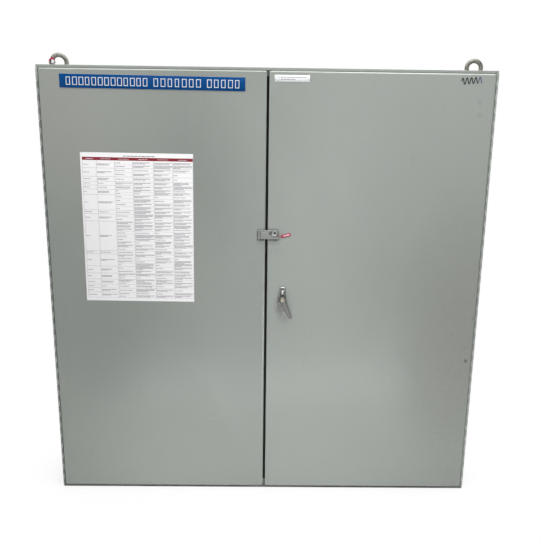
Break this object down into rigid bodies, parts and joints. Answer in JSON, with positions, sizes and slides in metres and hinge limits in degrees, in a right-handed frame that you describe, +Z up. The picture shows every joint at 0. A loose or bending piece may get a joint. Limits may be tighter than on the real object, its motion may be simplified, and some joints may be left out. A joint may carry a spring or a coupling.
{
  "type": "industrial switchboard cabinet",
  "caption": "Free-standing two-door sheet-steel switchboard enclosure with continuous hinges, lever latch, padlock hasp, lifting eyes and a fitted back panel.",
  "frame": {"origin": "centre of the welded body's base footprint, on the floor", "axes": "+X to the viewer's right as one faces the doors, +Y to the back (the doors face -Y), +Z up"},
  "size_m": [1.829, 0.3663, 1.9041],
  "materials": {
    "grey_enamel": "semi-gloss baked enamel over sheet steel, light machine grey, lightly scuffed",
    "white_enamel": "satin white baked enamel",
    "zinc_steel": "bright zinc plate, slightly dulled",
    "dull_steel": "forged and galvanised, dull with grime in the hollows",
    "chrome": "polished chrome plate over die casting",
    "brass": "turned brass, dulled",
    "black_rubber": "oil-resistant gasket, matt",
    "black_plastic": "moulded thermoset, satin",
    "grey_plastic": "moulded plastic, satin",
    "blue_plate": "laminated engraving plastic, blue over white core",
    "laminated_paper": "printed paper under gloss laminate",
    "red_plastic": "thin coloured nylon",
    "core_steel": "varnished laminations and winding"
  },
  "bodies": {
    "cabinet": {"cabinet_body": "grey_enamel", "drip_shield": "grey_enamel", "center_post": "grey_enamel", "center_post_seal": "black_rubber", "left_body_hinge_leaf": "zinc_steel", "right_body_hinge_leaf": "zinc_steel", "left_hinge_pin": "zinc_steel", "right_hinge_pin": "zinc_steel", "left_lifting_eye": "dull_steel", "right_lifting_eye": "dull_steel", "left_eye_nut": "zinc_steel", "right_eye_nut": "zinc_steel", "left_eye_tie": "red_plastic", "mounting_panel": "white_enamel", "din_rail": "zinc_steel", "wire_duct_top": "grey_plastic", "wire_duct_bottom": "grey_plastic", "main_breaker": "black_plastic", "branch_breaker_1": "black_plastic", "branch_breaker_2": "black_plastic", "branch_breaker_3": "black_plastic", "contactor_1": "black_plastic", "contactor_2": "black_plastic", "control_transformer": "core_steel", "controller_module": "grey_plastic", "terminal_strip": "grey_plastic", "ground_bar": "brass"},
    "left_door": {"left_door_panel": "grey_enamel", "left_door_gasket": "black_rubber", "left_door_hinge_leaf": "zinc_steel", "left_door_stiffener": "grey_enamel", "nameplate": "blue_plate", "rating_chart": "laminated_paper", "document_pocket": "grey_plastic", "top_bolt_guide": "zinc_steel", "bottom_bolt_guide": "zinc_steel", "hasp_base": "grey_enamel"},
    "hasp_strap": {"hasp_strap": "grey_enamel"},
    "left_top_bolt": {"left_top_bolt": "zinc_steel"},
    "left_bottom_bolt": {"left_bottom_bolt": "zinc_steel"},
    "right_door": {"right_door_panel": "grey_enamel", "right_door_gasket": "black_rubber", "right_door_hinge_leaf": "zinc_steel", "right_door_stiffener": "grey_enamel", "hasp_staple": "grey_enamel", "door_label": "laminated_paper", "seal_tag": "red_plastic", "handle_escutcheon": "chrome", "latch_bearing": "zinc_steel", "upper_rod_guide": "zinc_steel", "lower_rod_guide": "zinc_steel"},
    "latch_handle": {"handle_lever": "chrome", "latch_cam": "zinc_steel"},
    "lock_plug": {"lock_plug": "brass"},
    "upper_latch_rod": {"upper_latch_rod": "zinc_steel"},
    "lower_latch_rod": {"lower_latch_rod": "zinc_steel"},
    "main_breaker_handle": {"main_breaker_handle": "black_plastic"},
    "branch_toggle_1": {"branch_toggle_1": "black_plastic"},
    "branch_toggle_2": {"branch_toggle_2": "black_plastic"},
    "branch_toggle_3": {"branch_toggle_3": "black_plastic"}
  },
  "joints": [
    {"name": "left_door_hinge", "type": "hinge", "parent": "cabinet", "child": "left_door", "pos_m": [-0.9099, -0.1751, 0.9144], "axis": [0, 0, -1], "range_deg": [0, 180]},
    {"name": "right_door_hinge", "type": "hinge", "parent": "cabinet", "child": "right_door", "pos_m": [0.9099, -0.1751, 0.9144], "axis": [0, 0, 1], "range_deg": [0, 180]},
    {"name": "hasp_hinge", "type": "hinge", "parent": "left_door", "child": "hasp_strap", "pos_m": [-0.0305, -0.1838, 1.167], "axis": [0, 0, -1], "range_deg": [0, 130]},
    {"name": "top_bolt_slide", "type": "slide", "parent": "left_door", "child": "left_top_bolt", "axis": [0, 0, 1], "range_m": [0, 0.025]},
    {"name": "bottom_bolt_slide", "type": "slide", "parent": "left_door", "child": "left_bottom_bolt", "axis": [0, 0, -1], "range_m": [0, 0.025]},
    {"name": "latch_turn", "type": "hinge", "parent": "right_door", "child": "latch_handle", "pos_m": [0.0706, -0.17945, 0.893], "axis": [0, -1, 0], "range_deg": [-24, 66]},
    {"name": "lock_key_turn", "type": "hinge", "parent": "latch_handle", "child": "lock_plug", "pos_m": [0.0706, -0.21245, 0.893], "axis": [0, -1, 0], "range_deg": [0, 90]},
    {"name": "upper_rod_slide", "type": "slide", "parent": "right_door", "child": "upper_latch_rod", "axis": [0, 0, 1], "range_m": [-0.02495, 0.0091]},
    {"name": "lower_rod_slide", "type": "slide", "parent": "right_door", "child": "lower_latch_rod", "axis": [0, 0, -1], "range_m": [-0.02495, 0.0091]},
    {"name": "main_breaker_throw", "type": "hinge", "parent": "cabinet", "child": "main_breaker_handle", "pos_m": [-0.56, 0.05485, 1.51], "axis": [1, 0, 0], "range_deg": [0, 40]},
    {"name": "branch_1_throw", "type": "hinge", "parent": "cabinet", "child": "branch_toggle_1", "pos_m": [-0.5, 0.04925, 1.1975], "axis": [1, 0, 0], "range_deg": [0, 48]},
    {"name": "branch_2_throw", "type": "hinge", "parent": "cabinet", "child": "branch_toggle_2", "pos_m": [-0.42, 0.04925, 1.1975], "axis": [1, 0, 0], "range_deg": [0, 48]},
    {"name": "branch_3_throw", "type": "hinge", "parent": "cabinet", "child": "branch_toggle_3", "pos_m": [-0.34, 0.04925, 1.1975], "axis": [1, 0, 0], "range_deg": [0, 48]}
  ],
  "couplings": [
    {"joint": "upper_rod_slide", "follows": "latch_turn", "m_per_rad": -0.021608},
    {"joint": "lower_rod_slide", "follows": "latch_turn", "m_per_rad": -0.021608}
  ]
}
